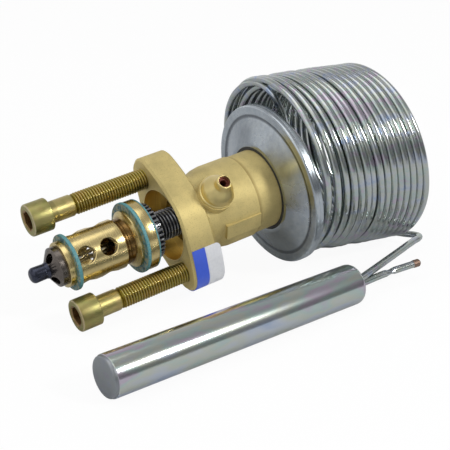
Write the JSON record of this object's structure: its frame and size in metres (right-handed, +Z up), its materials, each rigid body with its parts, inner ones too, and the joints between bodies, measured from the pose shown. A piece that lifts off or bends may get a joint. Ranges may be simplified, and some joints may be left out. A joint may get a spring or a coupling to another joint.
{
  "type": "thermostatic expansion valve",
  "caption": "Take-apart expansion valve: flanged brass body with diaphragm head, capillary coil and sensing bulb, cage with metering pin and adjusting gear, and socket head cap screws.",
  "frame": {"origin": "centre of the flange's mating face, on the valve axis", "axes": "+Z up as the valve lies on a table; +X is the plan direction of the valve axis, from the cage to the power head; the valve axis leans 6.6 degrees up from +X, because the head is wider than the flange"},
  "size_m": [0.1601, 0.1027, 0.0723],
  "materials": {
    "forged_brass": "matte forged",
    "turned_brass": "bright turned",
    "label_film": "satin film",
    "zinc_plate": "dull zinc plate",
    "spring_steel": "satin",
    "black_rubber": "matte",
    "copper_braze": "brazed",
    "grey_steel": "satin",
    "bright_steel": "ground",
    "black_steel": "black oxide",
    "teal_gasket": "matte fibre",
    "yellow_zinc": "yellow zinc plate",
    "bright_zinc_tube": "bright zinc",
    "bright_zinc": "bright zinc, faintly rainbow"
  },
  "bodies": {
    "valve": {"valve_body": "forged_brass", "equalizer_fitting": "turned_brass", "label": "label_film", "head_lower_cup": "zinc_plate", "head_upper_cup": "zinc_plate", "diaphragm": "spring_steel", "neck_seal": "black_rubber", "capillary_collar": "copper_braze", "rod_packing": "black_rubber", "cage_body": "turned_brass", "cage_front_gasket": "teal_gasket", "cage_rear_gasket": "teal_gasket", "cage_lower_gasket": "teal_gasket", "cage_nose": "grey_steel", "nose_plug": "black_steel", "cap_screw_upper": "yellow_zinc", "cap_screw_lower": "yellow_zinc", "capillary_coil": "bright_zinc_tube", "capillary_riser": "bright_zinc_tube", "capillary_tail": "bright_zinc_tube", "bulb_shell": "bright_zinc", "bulb_end_disc": "bright_zinc", "fill_tube": "bright_zinc_tube", "fill_tube_end": "copper_braze"},
    "pin_stroke": {"valve_pin": "bright_steel", "push_rod": "bright_steel", "spring_retainer": "grey_steel", "buffer_plate": "grey_steel"},
    "sleeve": {"adjusting_sleeve": "black_steel", "superheat_spring": "spring_steel"},
    "gear": {"adjusting_gear": "black_steel"}
  },
  "joints": [
    {"name": "valve_stroke", "type": "slide", "parent": "valve", "child": "pin_stroke", "axis": [-0.9933, 0, -0.1157], "range_m": [0, 0.001], "stiffness_N_per_m": 1000, "springref_m": -0.002, "deforming": ["superheat_spring"]},
    {"name": "gear_turn", "type": "hinge", "parent": "valve", "child": "gear", "pos_m": [0, 0, 0], "axis": [0.9933, 0, 0.1157], "range_deg": [-540, 540]},
    {"name": "sleeve_slide", "type": "slide", "parent": "valve", "child": "sleeve", "axis": [0.9933, 0, 0.1157], "range_m": [-0.002, 0.002]}
  ],
  "couplings": [
    {"joint": "sleeve_slide", "follows": "gear_turn", "m_per_rad": -0.00020213}
  ]
}
